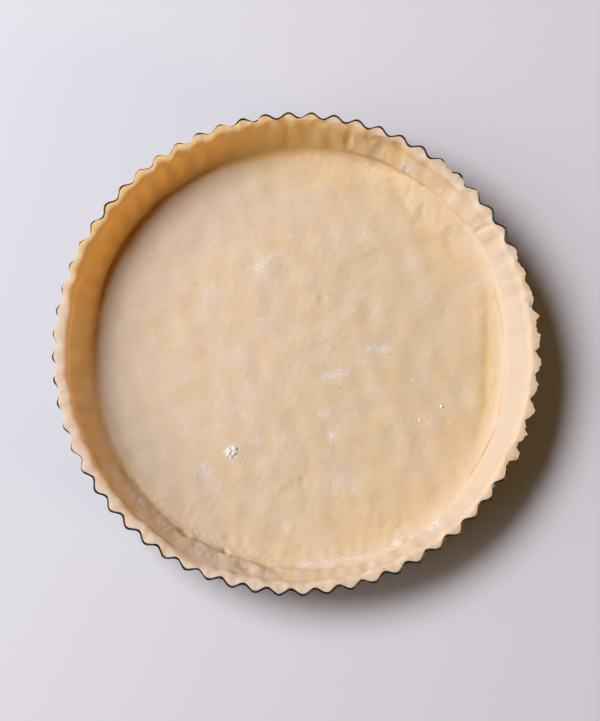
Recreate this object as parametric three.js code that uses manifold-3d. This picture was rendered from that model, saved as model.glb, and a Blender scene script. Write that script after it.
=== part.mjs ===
// An unbaked pastry shell pressed into its fluted tart tin.
//
// Frame: millimetres, +Z up. The origin is the centre of the tin's underside, on the surface that it
// stands on, and one flute crest points along +X. Angles are degrees round +Z from +X.
//
// tart_tin      thin pressed sheet: a flat base and a fluted wall that leans out to a plain cut edge
// pastry_shell  a rolled round of pastry lining the tin: its outside follows the flutes, its rim is cut
//               level with the tin's edge, and its inside is pressed by hand into a slightly uneven bowl

import * as THREE from "three";
import { mergeVertices } from "three/addons/utils/BufferGeometryUtils.js";
import Module from "manifold-3d";

// Tin
const FLUTES = 64;
const FLUTE_DEPTH = 2.8; // crest to trough
const TIN_HEIGHT = 25;
const TIN_RIM_RADIUS = 120; // outside, over the crests
const TIN_BASE_RADIUS = 113; // outside, over the crests
const SHEET = 0.7;
const TIN_CORNER = 2; // bend between the base and the wall

// Pastry
const GAP = 0.3; // clearance between the pastry and the tin
const FLOOR_THICKNESS = 3.5;
const RIM_THICKNESS = 3.6; // at mid flute
const RIM_RISE = 0.5; // of the cut rim over the tin's edge
const RIM_ROUNDING = 1; // of the rim's inner edge
const FLOOR_RADIUS = 107; // to the crease where the floor meets the wall
const CREASE_ROUNDING = 3.5;

// Uneven pressing of the crease, as waves round the bowl
const CREASE_WAVES = [
  { lobes: 1, reach: 1.6, crest: 30 },
  { lobes: 2, reach: 1.4, crest: 116 },
  { lobes: 3, reach: 1.1, crest: 38 },
  { lobes: 4, reach: 1.1, crest: 36 },
];
// Where the edge of the round was folded in and pressed down, so that the wall's lower part is double
const LAPS = [
  { from: 30, to: 74, thickness: 1.6 },
  { from: -48, to: 8, thickness: 1 },
];
const LAP_TOP = 15; // height of the laps' upper edge
const LAP_LEDGE = 3; // height over which a lap thins out there
// Shallow thumb groove along the floor
const GROOVE = { radius: 96, width: 7, from: -34, to: 30, depth: 0.7 };
const FLOOR_WAVE = 0.25; // rise and fall of the rolled floor

// Facets
const FLUTE_FACETS = 6;
const BOWL_FACETS = 144;

const radians = THREE.MathUtils.degToRad;
const { smoothstep } = THREE.MathUtils;
const wallLean = (TIN_RIM_RADIUS - TIN_BASE_RADIUS) / TIN_HEIGHT;
const pastryFloor = SHEET + GAP + FLOOR_THICKNESS;
const pastryRim = TIN_HEIGHT + RIM_RISE;

// Mid-flute radius of the tin's outside at a height
const tinRadius = (z) => TIN_BASE_RADIUS - FLUTE_DEPTH / 2 + wallLean * z;

// 1 inside a stretch of the round, easing to 0 past its ends
function stretch(angle, { from, to }) {
  const ease = radians(7);
  const half = radians((to - from) / 2);
  const turned = angle - radians((from + to) / 2);
  const away = Math.abs(THREE.MathUtils.euclideanModulo(turned + Math.PI, 2 * Math.PI) - Math.PI);
  return 1 - smoothstep(away, half - ease, half + ease);
}

// A closed body of revolution about +Z from [radius, height] points, axis to axis, bottom first
function turned(profile, facets) {
  const points = profile.map(([radius, height]) => new THREE.Vector2(radius, height));
  const geometry = new THREE.LatheGeometry(points, facets);
  geometry.rotateX(Math.PI / 2);
  geometry.deleteAttribute("normal");
  geometry.deleteAttribute("uv");
  return mergeVertices(geometry, 1e-3);
}

// Moves each vertex off the axis to where move(angle, radius, height) says
function shaped(geometry, move) {
  const position = geometry.getAttribute("position");
  for (let i = 0; i < position.count; i++) {
    const [x, y, z] = [position.getX(i), position.getY(i), position.getZ(i)];
    const radius = Math.hypot(x, y);
    if (radius < 1e-6) continue;
    const angle = Math.atan2(y, x);
    const [newRadius, newHeight] = move(angle, radius, z);
    position.setXYZ(i, newRadius * Math.cos(angle), newRadius * Math.sin(angle), newHeight);
  }
  return geometry;
}

const fluted = (angle, radius, height) => [radius + (FLUTE_DEPTH / 2) * Math.cos(FLUTES * angle), height];

function tinGeometry() {
  const inside = (z) => tinRadius(z) - SHEET;
  const profile = [
    [0, 0],
    [tinRadius(0) - TIN_CORNER, 0],
    [tinRadius(TIN_CORNER), TIN_CORNER],
    [tinRadius(TIN_HEIGHT), TIN_HEIGHT],
    [inside(TIN_HEIGHT), TIN_HEIGHT],
    [inside(TIN_CORNER + SHEET), TIN_CORNER + SHEET],
    [inside(0) - TIN_CORNER, SHEET],
    [0, SHEET],
  ];
  return shaped(turned(profile, FLUTES * FLUTE_FACETS), fluted);
}

// The round of pastry before it is hollowed: it fills the tin to its cut rim
function pastryBlank() {
  const clear = SHEET + GAP;
  const outside = (z) => tinRadius(z) - clear;
  const profile = [
    [0, clear],
    [outside(0) - TIN_CORNER, clear],
    [outside(TIN_CORNER + clear), TIN_CORNER + clear],
    [outside(pastryRim), pastryRim],
    [0, pastryRim],
  ];
  return shaped(turned(profile, FLUTES * FLUTE_FACETS), fluted);
}

// The space that the pressed pastry leaves open for a filling
function bowlSpace() {
  const foot = [FLOOR_RADIUS + CREASE_ROUNDING / 2, pastryFloor + 1.6 * CREASE_ROUNDING];
  const brim = [tinRadius(pastryRim) - SHEET - GAP - RIM_THICKNESS, pastryRim - RIM_ROUNDING];
  const onWall = (z) => [THREE.MathUtils.mapLinear(z, foot[1], brim[1], foot[0], brim[0]), z];
  const above = pastryRim + 2 * RIM_ROUNDING;
  const profile = [
    [0, pastryFloor],
    [0.6 * FLOOR_RADIUS, pastryFloor],
    [GROOVE.radius, pastryFloor],
    [FLOOR_RADIUS - CREASE_ROUNDING, pastryFloor],
    [FLOOR_RADIUS, pastryFloor + 0.5 * CREASE_ROUNDING],
    foot,
    onWall(LAP_TOP),
    onWall(LAP_TOP + LAP_LEDGE),
    brim,
    [brim[0] + RIM_ROUNDING, pastryRim + 0.2 * RIM_ROUNDING],
    [brim[0] + RIM_ROUNDING, above],
    [0, above],
  ];
  return shaped(turned(profile, BOWL_FACETS), pressed);
}

// Hand pressing of the bowl: an uneven crease, doubled laps on the wall, the groove and a slight swell
function pressed(angle, radius, height) {
  const nearWall = smoothstep(radius, GROOVE.radius, FLOOR_RADIUS);
  const wave = ({ lobes, reach, crest }) => reach * Math.cos(lobes * (angle - radians(crest)));
  const waves = CREASE_WAVES.reduce((sum, each) => sum + wave(each), 0);
  const crease = waves * (1 - smoothstep(height, pastryFloor, pastryRim));
  const doubled = 1 - smoothstep(height, LAP_TOP - 1, LAP_TOP + LAP_LEDGE);
  const lap = LAPS.reduce((sum, fold) => sum + fold.thickness * stretch(angle, fold), 0) * doubled;
  const onFloor = 1 - smoothstep(height, pastryFloor, pastryFloor + 0.4 * CREASE_ROUNDING);
  const swell = FLOOR_WAVE * Math.sin(3 * angle + radius / 20);
  const inGroove = 1 - smoothstep(Math.abs(radius - GROOVE.radius), 0, GROOVE.width);
  const groove = GROOVE.depth * inGroove * stretch(angle, GROOVE);
  return [radius + nearWall * (crease - lap), height + onFloor * (swell - groove)];
}

const wasm = await Module();
wasm.setup();

function solid(geometry) {
  const mesh = new wasm.Mesh({
    numProp: 3,
    vertProperties: new Float32Array(geometry.getAttribute("position").array),
    triVerts: new Uint32Array(geometry.index.array),
  });
  return new wasm.Manifold(mesh);
}

function geometryOf(manifold) {
  const mesh = manifold.getMesh();
  const geometry = new THREE.BufferGeometry();
  geometry.setAttribute("position", new THREE.BufferAttribute(new Float32Array(mesh.vertProperties), 3));
  geometry.setIndex(new THREE.BufferAttribute(new Uint32Array(mesh.triVerts), 1));
  geometry.computeVertexNormals();
  return geometry;
}

const pastryGeometry = geometryOf(solid(pastryBlank()).subtract(solid(bowlSpace())));

const darkCoatedSteel = new THREE.MeshStandardMaterial({ color: 0x3b3836, roughness: 0.38, metalness: 0.8 });
const rawPastry = new THREE.MeshStandardMaterial({ color: 0xe6cba6, roughness: 0.72, metalness: 0 });

const tin = new THREE.Mesh(tinGeometry(), darkCoatedSteel);
tin.name = "tart_tin";

const pastry = new THREE.Mesh(pastryGeometry, rawPastry);
pastry.name = "pastry_shell";

const tart = new THREE.Group();
tart.name = "lined_tart_tin";
tart.add(tin, pastry);

export default tart;
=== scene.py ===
"""Looks of an unbaked pastry shell that lines its fluted tart tin.

The script works in millimetres and scales each piece to metres at the end. Angles are degrees round +Z
from +X, and a place on the pastry seen from above is an (angle, radius) pair.
"""

import logging
import math
import random
from dataclasses import dataclass
from enum import Enum

import bmesh
import bpy
import numpy as np
from mathutils import Matrix, Vector


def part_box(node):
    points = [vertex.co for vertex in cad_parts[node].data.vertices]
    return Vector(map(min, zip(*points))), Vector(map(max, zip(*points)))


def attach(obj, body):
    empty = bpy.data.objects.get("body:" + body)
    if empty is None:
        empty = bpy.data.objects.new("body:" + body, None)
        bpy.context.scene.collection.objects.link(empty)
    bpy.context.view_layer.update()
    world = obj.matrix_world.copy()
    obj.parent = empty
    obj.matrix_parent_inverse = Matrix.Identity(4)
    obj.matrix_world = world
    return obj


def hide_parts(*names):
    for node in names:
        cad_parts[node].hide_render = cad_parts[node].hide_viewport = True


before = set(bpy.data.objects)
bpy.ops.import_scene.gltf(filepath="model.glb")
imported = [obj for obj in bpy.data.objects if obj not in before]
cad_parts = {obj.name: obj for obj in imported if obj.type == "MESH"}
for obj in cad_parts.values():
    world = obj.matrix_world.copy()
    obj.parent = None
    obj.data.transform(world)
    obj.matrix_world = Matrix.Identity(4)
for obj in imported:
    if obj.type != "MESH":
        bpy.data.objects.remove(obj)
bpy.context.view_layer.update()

MM = 0.001
BODY = "root"
FLUTES = 64
FLUTE_DEPTH = 2.8  # crest to trough
SHEET = 0.7  # thickness of the tin
GAP = 0.3  # clearance between the pastry and the tin
WELD = 1e-3  # points closer than this are one point
SLIVER = 1e-4  # edges shorter than this are dissolved
MIX_FIRST, MIX_SECOND, MIX_RESULT = 6, 7, 2  # a Mix node's colour sockets

log = logging.getLogger("tart_shell")
Place = tuple[float, float]
Corner = tuple[float, float, float]
Colour = tuple[float, float, float]
Socket = bpy.types.NodeSocket
Mesh = bmesh.types.BMesh


# ---------------------------------------------------------------------------------------------------------
# Shaping helpers


def ease(value: np.ndarray, start: float, end: float) -> np.ndarray:
    """Smooth step from 0 at start to 1 at end.

    Args:
        value: Numbers to place between start and end.
        start: Where the step begins.
        end: Where the step is complete.

    Returns:
        The share reached by each number, from 0 to 1.
    """
    share = np.clip((value - start) / (end - start), 0.0, 1.0)
    return share * share * (3.0 - 2.0 * share)


def stretch(angle: np.ndarray, start: float, end: float, fade: float = 7.0) -> np.ndarray:
    """Weight that is 1 on a stretch of the round and fades past its ends.

    Args:
        angle: Directions in degrees.
        start: First direction of the stretch.
        end: Last direction of the stretch.
        fade: Half the width of each end's fade, in degrees.

    Returns:
        A weight from 0 to 1 for each direction.
    """
    away = np.abs((angle - (start + end) / 2 + 180.0) % 360.0 - 180.0)
    half = (end - start) / 2
    return 1.0 - ease(away, half - fade, half + fade)


def band(value: np.ndarray, start: float, full: float, ebb: float, end: float) -> np.ndarray:
    """Weight that rises from 0 at start to 1 at full, and sinks from 1 at ebb to 0 at end."""
    return ease(value, start, full) * (1.0 - ease(value, ebb, end))


def flute_wave(angle: np.ndarray) -> np.ndarray:
    """1 on the flutes' crests and -1 in their troughs, for directions in degrees."""
    return np.cos(FLUTES * np.radians(angle))


def spot(place: Place) -> np.ndarray:
    """The (x, y) point of an (angle, radius) place."""
    angle = math.radians(place[0])
    return np.array([place[1] * math.cos(angle), place[1] * math.sin(angle)])


def rounded_outline(corners: list[Corner], spacing: float) -> list[Vector]:
    """Points along a bent line whose corners are rounded.

    Args:
        corners: (radius, height, rounding) of each corner, from one end to the other.
        spacing: Largest distance between two points.

    Returns:
        The points in the XZ plane.
    """
    places = [Vector((radius, 0.0, height)) for radius, height, _ in corners]
    path = [places[0]]
    for index in range(1, len(places) - 1):
        before, here, after = places[index - 1 : index + 2]
        cut = min(corners[index][2], (before - here).length / 2, (after - here).length / 2)
        if cut <= 0.0:
            path.append(here)
            continue
        start = here + (before - here).normalized() * cut
        end = here + (after - here).normalized() * cut
        steps = max(2, math.ceil(2.2 * cut / spacing) + 1)
        for step in range(steps + 1):
            t = step / steps
            path.append(start * (1 - t) ** 2 + here * 2 * t * (1 - t) + end * t * t)
    path.append(places[-1])
    points = [path[0]]
    for start, end in zip(path, path[1:]):
        length = (end - start).length
        if length < SLIVER:
            continue
        count = max(1, math.ceil(length / spacing - 0.3))
        points += [start.lerp(end, step / count) for step in range(1, count + 1)]
    return points


def spin_flute(mesh: Mesh, outline: list[Vector], steps: int) -> None:
    """Turns an outline round the Z axis over the width of one flute.

    Args:
        mesh: Where the turned surface is added.
        outline: Points in the XZ plane, joined in order.
        steps: Number of facets over the flute.
    """
    verts = [mesh.verts.new(point) for point in outline]
    edges = [mesh.edges.new(pair) for pair in zip(verts, verts[1:])]
    turn = 2 * math.pi / FLUTES
    bmesh.ops.spin(mesh, geom=verts + edges, cent=(0, 0, 0), axis=(0, 0, 1), angle=turn, steps=steps)


def repeat_flutes(mesh: Mesh) -> None:
    """Doubles one flute's surface round the Z axis until the round is full, and joins the seams."""
    turn = 2 * math.pi / FLUTES
    for _ in range(int(math.log2(FLUTES))):
        copies = bmesh.ops.duplicate(mesh, geom=mesh.faces[:])["geom"]
        moved = [part for part in copies if isinstance(part, bmesh.types.BMVert)]
        bmesh.ops.rotate(mesh, verts=moved, cent=(0, 0, 0), matrix=Matrix.Rotation(turn, 3, "Z"))
        turn *= 2
    bmesh.ops.remove_doubles(mesh, verts=mesh.verts, dist=WELD)
    bmesh.ops.dissolve_degenerate(mesh, dist=SLIVER, edges=mesh.edges)


def piece_from(mesh: Mesh, name: str, smooth: bool = True) -> bpy.types.Object:
    """Makes an object of a finished mesh in millimetres.

    Args:
        mesh: The mesh, which is freed.
        name: The object's name.
        smooth: Whether its faces are shaded smooth.

    Returns:
        The object, in metres, at the origin.
    """
    bmesh.ops.scale(mesh, vec=(MM, MM, MM), verts=mesh.verts)
    data = bpy.data.meshes.new(name)
    mesh.to_mesh(data)
    mesh.free()
    data.polygons.foreach_set("use_smooth", [smooth] * len(data.polygons))
    piece = bpy.data.objects.new(name, data)
    bpy.context.scene.collection.objects.link(piece)
    return piece


def points_of(mesh: Mesh) -> np.ndarray:
    """The mesh's points, as rows of x, y and z."""
    return np.array([vert.co for vert in mesh.verts], float)


def move_points(mesh: Mesh, points: np.ndarray) -> None:
    """Moves the mesh's vertices to the given rows of x, y and z."""
    for vert, point in zip(mesh.verts, points.tolist()):
        vert.co = point


@dataclass(frozen=True)
class Ripple:
    """Smooth random unevenness, made of many crossing waves.

    Attributes:
        shortest: Shortest wavelength.
        longest: Longest wavelength.
        reach: Typical height.
        seed: Seed of the waves' directions and phases.
        grain: Direction along which the waves are drawn out, in degrees.
        drawn: How many times longer they are along it.
        waves: Number of waves.
    """

    shortest: float
    longest: float
    reach: float
    seed: int
    grain: float = 0.0
    drawn: float = 1.0
    waves: int = 44

    def at(self, x: np.ndarray, y: np.ndarray) -> np.ndarray:
        """Height of the unevenness at each (x, y)."""
        chance = random.Random(self.seed)
        full_turn = 2 * math.pi
        turn = math.radians(self.grain)
        along = (x * math.cos(turn) + y * math.sin(turn)) / self.drawn
        across = y * math.cos(turn) - x * math.sin(turn)
        total = np.zeros_like(x)
        for _ in range(self.waves):
            length = self.shortest * (self.longest / self.shortest) ** chance.random()
            heading = chance.uniform(0, full_turn)
            phase = chance.uniform(0, full_turn)
            walked = along * math.cos(heading) + across * math.sin(heading)
            total += np.sin(walked * full_turn / length + phase)
        return total * self.reach * math.sqrt(2 / self.waves)


@dataclass(frozen=True)
class Zone:
    """A stretch of the round, and how strongly something shows there.

    Attributes:
        start: First direction of the stretch.
        end: Last direction of the stretch.
        amount: Strength on the stretch.
        fade: Half the width of each end's fade.
    """

    start: float
    end: float
    amount: float = 1.0
    fade: float = 7.0

    def at(self, angle: np.ndarray) -> np.ndarray:
        """Strength in each direction."""
        return self.amount * stretch(angle, self.start, self.end, self.fade)


def over(zones: tuple[Zone, ...], angle: np.ndarray) -> np.ndarray:
    """Strength of several zones together in each direction."""
    return sum(zone.at(angle) for zone in zones)


@dataclass(frozen=True)
class Mark:
    """A line pressed or folded into the pastry.

    Attributes:
        path: (angle, radius) places along the line, seen from above.
        width: Half width of the dip along the line.
        depth: Depth of the dip.
        lift: Height of the ledge on the left of the line, walking along it.
        reach: How far the ledge spreads before it has sunk back.
        fade: Share of the line over which each end fades.
    """

    path: tuple[Place, ...]
    width: float
    depth: float
    lift: float = 0.0
    reach: float = 8.0
    fade: float = 0.25

    def on(self, x: np.ndarray, y: np.ndarray) -> np.ndarray:
        """Height that the mark adds at each (x, y)."""
        corners = [spot(place) for place in self.path]
        lengths = [float(np.hypot(*(end - start))) for start, end in zip(corners, corners[1:])]
        total = sum(lengths)
        nearest = np.full_like(x, 1e6)
        side = np.zeros_like(x)
        walked = np.zeros_like(x)
        done = 0.0
        for start, end, length in zip(corners, corners[1:], lengths):
            way = (end - start) / length
            along = np.clip((x - start[0]) * way[0] + (y - start[1]) * way[1], 0.0, length)
            away_x = x - start[0] - along * way[0]
            away_y = y - start[1] - along * way[1]
            away = np.hypot(away_x, away_y)
            closer = away < nearest
            nearest = np.where(closer, away, nearest)
            side = np.where(closer, way[0] * away_y - way[1] * away_x, side)
            walked = np.where(closer, (done + along) / total, walked)
            done += length
        ends = ease(walked, 0.0, self.fade) * (1.0 - ease(walked, 1.0 - self.fade, 1.0))
        dip = -self.depth * np.exp(-((nearest / self.width) ** 2))
        if self.lift == 0.0:
            return dip * ends
        ledge = self.lift * ease(side, 0.0, 1.4 * self.width) * np.exp(-((nearest / self.reach) ** 2))
        return (dip + ledge) * ends


# ---------------------------------------------------------------------------------------------------------
# Finishes


class Nodes:
    """Adds shader nodes to a tree in short lines."""

    def __init__(self, tree: bpy.types.NodeTree) -> None:
        """Keeps the tree to add to."""
        self.tree = tree

    def add(self, kind: str, label: str = "", **settings: object) -> bpy.types.Node:
        """Adds a node.

        Args:
            kind: The node's type name, without its ShaderNode prefix.
            label: What the node is for.
            settings: Properties of the node to set.

        Returns:
            The node.
        """
        node = self.tree.nodes.new("ShaderNode" + kind)
        node.label = label
        for name, value in settings.items():
            setattr(node, name, value)
        return node

    def join(self, output: Socket, target: Socket) -> None:
        """Links an output to an input."""
        self.tree.links.new(output, target)

    def math(self, operation: str, first: object, second: object, clamp: bool = False) -> Socket:
        """Output of a Math node whose two inputs are numbers or sockets."""
        node = self.add("Math", operation=operation, use_clamp=clamp)
        for socket, value in zip(node.inputs, (first, second)):
            if isinstance(value, Socket):
                self.join(value, socket)
            else:
                socket.default_value = value
        return node.outputs[0]

    def weighted(self, *parts: tuple[Socket, float], clamp: bool = False) -> Socket:
        """Output of Math nodes that add up sockets, each times its weight."""
        products = [self.math("MULTIPLY", socket, weight) for socket, weight in parts]
        total = products[0]
        for product in products[1:]:
            total = self.math("ADD", total, product, clamp)
        return total

    def ramp(self, value: Socket, low: float, high: float, top: float = 1.0) -> Socket:
        """Output of a smooth Map Range node from low..high to 0..top."""
        node = self.add("MapRange", interpolation_type="SMOOTHSTEP")
        self.join(value, node.inputs["Value"])
        node.inputs["From Min"].default_value = low
        node.inputs["From Max"].default_value = high
        node.inputs["To Max"].default_value = top
        return node.outputs["Result"]

    def blend(self, share: Socket, first: object, second: object) -> Socket:
        """Output of a colour Mix node between two colours or sockets."""
        node = self.add("Mix", data_type="RGBA")
        self.join(share, node.inputs[0])
        for socket, value in ((node.inputs[MIX_FIRST], first), (node.inputs[MIX_SECOND], second)):
            if isinstance(value, Socket):
                self.join(value, socket)
            else:
                socket.default_value = (*value, 1.0)
        return node.outputs[MIX_RESULT]

    def noise(self, vector: Socket, size: float, detail: float, rough: float) -> Socket:
        """Output of a Noise node whose lumps are about size metres across."""
        node = self.add("TexNoise")
        self.join(vector, node.inputs["Vector"])
        node.inputs["Scale"].default_value = 1.0 / size
        node.inputs["Detail"].default_value = detail
        node.inputs["Roughness"].default_value = rough
        return node.outputs["Fac"]

    def mark(self, name: str) -> Socket:
        """Output of the mesh attribute of that name."""
        return self.add("Attribute", name, attribute_name=name).outputs["Fac"]

    def bump(
        self, shader: bpy.types.Node, height: Socket, label: str, strength: float, distance: float
    ) -> None:
        """Roughens a shader's normal by a height.

        Args:
            shader: The shader.
            height: The height to follow.
            label: What the roughness is.
            strength: Strength of the effect.
            distance: Its height in metres.
        """
        bump = self.add("Bump", label)
        bump.inputs["Strength"].default_value = strength
        bump.inputs["Distance"].default_value = distance
        self.join(height, bump.inputs["Height"])
        self.join(bump.outputs["Normal"], shader.inputs["Normal"])


def new_group(name: str, inputs: dict[str, str], outputs: dict[str, str]) -> tuple[bpy.types.NodeTree, Nodes]:
    """Starts a shader node group.

    Args:
        name: The group's name.
        inputs: Input names and socket types, Float or Vector.
        outputs: Output names and socket types.

    Returns:
        The group and a helper that adds nodes to it.
    """
    group = bpy.data.node_groups.new(name, "ShaderNodeTree")
    for title, kind in inputs.items():
        group.interface.new_socket(title, in_out="INPUT", socket_type="NodeSocket" + kind)
    for title, kind in outputs.items():
        group.interface.new_socket(title, in_out="OUTPUT", socket_type="NodeSocket" + kind)
    return group, Nodes(group)


def mottle_group() -> bpy.types.NodeTree:
    """Group that puts out soft, cloudy variation: a wide tone and a fine tone, each from 0 to 1."""
    inputs = {"Vector": "Vector", "Size": "Float"}
    group, nodes = new_group("mottle", inputs, {"Wide": "Float", "Fine": "Float"})
    start = group.nodes.new("NodeGroupInput")
    end = group.nodes.new("NodeGroupOutput")
    shrink = nodes.add("VectorMath", "in pattern sizes", operation="SCALE")
    nodes.join(start.outputs["Vector"], shrink.inputs[0])
    nodes.join(nodes.math("DIVIDE", 1.0, start.outputs["Size"]), shrink.inputs["Scale"])
    wide = nodes.noise(shrink.outputs[0], size=1.0, detail=2.0, rough=0.5)
    fine = nodes.noise(shrink.outputs[0], size=0.16, detail=4.0, rough=0.62)
    nodes.join(nodes.ramp(wide, low=0.34, high=0.66), end.inputs["Wide"])
    nodes.join(nodes.ramp(fine, low=0.34, high=0.66), end.inputs["Fine"])
    return group


def dust_group() -> bpy.types.NodeTree:
    """Group that puts out loose flour: thin patches broken into grains, and single specks."""
    inputs = {"Vector": "Vector", "Amount": "Float"}
    group, nodes = new_group("flour_dust", inputs, {"Mask": "Float", "Height": "Float"})
    start = group.nodes.new("NodeGroupInput")
    end = group.nodes.new("NodeGroupOutput")
    vector = start.outputs["Vector"]
    grains = nodes.ramp(nodes.noise(vector, size=0.0011, detail=3.0, rough=0.7), low=0.42, high=0.66)
    patches = nodes.ramp(nodes.noise(vector, size=0.013, detail=3.0, rough=0.6), low=0.40, high=0.72)
    cells = nodes.add("TexVoronoi", "specks", feature="F1")
    nodes.join(vector, cells.inputs["Vector"])
    cells.inputs["Scale"].default_value = 1.0 / 0.0042
    near = nodes.ramp(cells.outputs["Distance"], low=0.16, high=0.07)
    chosen = nodes.add("SeparateColor")
    nodes.join(cells.outputs["Color"], chosen.inputs[0])
    specks = nodes.math("MULTIPLY", near, nodes.ramp(chosen.outputs[0], low=0.66, high=0.80))
    film = nodes.math("MULTIPLY", grains, nodes.math("ADD", 0.7, patches))
    powder = nodes.math("MULTIPLY", film, start.outputs["Amount"], clamp=True)
    mask = nodes.math("MAXIMUM", powder, nodes.math("MULTIPLY", specks, 0.55))
    nodes.join(mask, end.inputs["Mask"])
    nodes.join(nodes.math("ADD", powder, specks), end.inputs["Height"])
    return group


class Effects:
    """The shader node groups that the finishes share, each built once."""

    def __init__(self) -> None:
        """Builds the groups."""
        self._mottle = mottle_group()
        self._dust = dust_group()

    def mottle(self, nodes: Nodes, vector: Socket, size: float) -> bpy.types.Node:
        """Places the mottle in a material, with clouds of a size in metres."""
        node = self._place(nodes, self._mottle, vector)
        node.inputs["Size"].default_value = size
        return node

    def dust(self, nodes: Nodes, vector: Socket) -> bpy.types.Node:
        """Places the flour dust in a material."""
        return self._place(nodes, self._dust, vector)

    @staticmethod
    def _place(nodes: Nodes, group: bpy.types.NodeTree, vector: Socket) -> bpy.types.Node:
        """Places a group that reads the given coordinates."""
        node = nodes.add("Group", group.name, node_tree=group)
        nodes.join(vector, node.inputs["Vector"])
        return node


def new_material(name: str) -> tuple[bpy.types.Material, Nodes, bpy.types.Node, Socket]:
    """Starts a material.

    Args:
        name: The material's name.

    Returns:
        The material, a helper for its nodes, its Principled shader and its object coordinates.
    """
    material = bpy.data.materials.new(name)
    material.use_nodes = True
    nodes = Nodes(material.node_tree)
    shader = material.node_tree.nodes["Principled BSDF"]
    coordinates = nodes.add("TexCoord").outputs["Object"]
    return material, nodes, shader, coordinates


@dataclass(frozen=True)
class PastryFinish:
    """Raw shortcrust pastry: pale, matt, faintly mottled by butter and dusted with flour, with painted shade
    and a painted paler sunlit wall.

    Attributes:
        pale: Colour of dough without butter near its surface.
        butter_and_shade_colour: Colour of dough full of butter, also laid as painted orange shade on the
            shaded wall, the floor's rim beside it and the creases.
        pressed: Colour of painted shade: darker dough on the floor's rim where the wall shades it, and on the
            sunlit wall to dim it.
        flour: Colour of the flour on it.
        flour_mark: Mesh attribute that says how floured a place is.
        butter_and_shade_mark: Mesh attribute that says how much butter tone and painted orange shade a place
            has.
        painted_shade_mark: Mesh attribute that says how much painted shade a place has.
        clouds: Size of the mottle in metres.
        wide_share: Butter that the mottle's wide tone adds.
        fine_share: Butter that its fine tone adds.
        butter_and_shade_weight: Butter tone and painted orange shade that the attribute adds.
        roughness: Least roughness, and how much the fine tone adds.
    """

    pale: Colour = (0.80, 0.59, 0.42)
    butter_and_shade_colour: Colour = (0.79, 0.49, 0.165)
    pressed: Colour = (0.64, 0.49, 0.365)
    flour: Colour = (0.90, 0.79, 0.76)
    flour_mark: str = "flour"
    butter_and_shade_mark: str = "butter"
    painted_shade_mark: str = "pressed"
    clouds: float = 0.034
    wide_share: float = 0.06
    fine_share: float = 0.07
    butter_and_shade_weight: float = 0.8
    roughness: tuple[float, float] = (0.72, 0.16)

    def material(self, effects: Effects) -> bpy.types.Material:
        """Builds the pastry's material."""
        material, nodes, shader, coordinates = new_material("raw_pastry")
        mottle = effects.mottle(nodes, coordinates, self.clouds)
        wide, fine = mottle.outputs["Wide"], mottle.outputs["Fine"]
        # butter tone from the mottle and the butter attribute, which also carries painted orange shade
        butter = (nodes.mark(self.butter_and_shade_mark), self.butter_and_shade_weight)
        butter_and_shade_amount = nodes.weighted((wide, self.wide_share), (fine, self.fine_share), butter, clamp=True)
        dough = nodes.blend(butter_and_shade_amount, self.pale, self.butter_and_shade_colour)
        # painted shade: the pressed attribute blends in darker dough on the floor's rim where the wall shades
        # it and on the sunlit wall
        dough = nodes.blend(nodes.mark(self.painted_shade_mark), dough, self.pressed)
        dust = effects.dust(nodes, coordinates)
        nodes.join(nodes.mark(self.flour_mark), dust.inputs["Amount"])
        nodes.join(nodes.blend(dust.outputs["Mask"], dough, self.flour), shader.inputs["Base Color"])
        least, more = self.roughness
        nodes.join(nodes.math("ADD", nodes.ramp(fine, 0.0, 1.0, more), least), shader.inputs["Roughness"])

        lumps = nodes.noise(coordinates, size=0.0034, detail=3.0, rough=0.6)
        grit = nodes.noise(coordinates, size=0.0009, detail=2.0, rough=0.6)
        relief = nodes.weighted((lumps, 0.7), (grit, 0.22), (dust.outputs["Height"], 0.25))
        nodes.bump(shader, relief, "fine lumps and grit", strength=0.55, distance=0.0004)
        shader.inputs["Subsurface Weight"].default_value = 0.12
        shader.inputs["Subsurface Radius"].default_value = (1.0, 0.55, 0.28)
        shader.inputs["Subsurface Scale"].default_value = 0.0016
        shader.inputs["Specular IOR Level"].default_value = 0.25
        return material


@dataclass(frozen=True)
class BitsFinish:
    """Loose bits, matt and powdery: white flour unless told otherwise.

    Attributes:
        name: The material's name.
        light: Colour of their lighter places.
        shaded: Colour of their darker places.
        clouds: Size of the mottle in metres.
    """

    name: str = "loose_flour"
    light: Colour = (0.92, 0.86, 0.83)
    shaded: Colour = (0.86, 0.77, 0.71)
    clouds: float = 0.003

    def material(self, effects: Effects) -> bpy.types.Material:
        """Builds the material of the bits."""
        material, nodes, shader, coordinates = new_material(self.name)
        mottle = effects.mottle(nodes, coordinates, self.clouds)
        nodes.join(nodes.blend(mottle.outputs["Fine"], self.light, self.shaded), shader.inputs["Base Color"])
        powder = nodes.noise(coordinates, size=0.0004, detail=3.0, rough=0.7)
        nodes.bump(shader, powder, "powder", strength=0.6, distance=0.00015)
        shader.inputs["Roughness"].default_value = 0.95
        shader.inputs["Specular IOR Level"].default_value = 0.2
        return material


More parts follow.
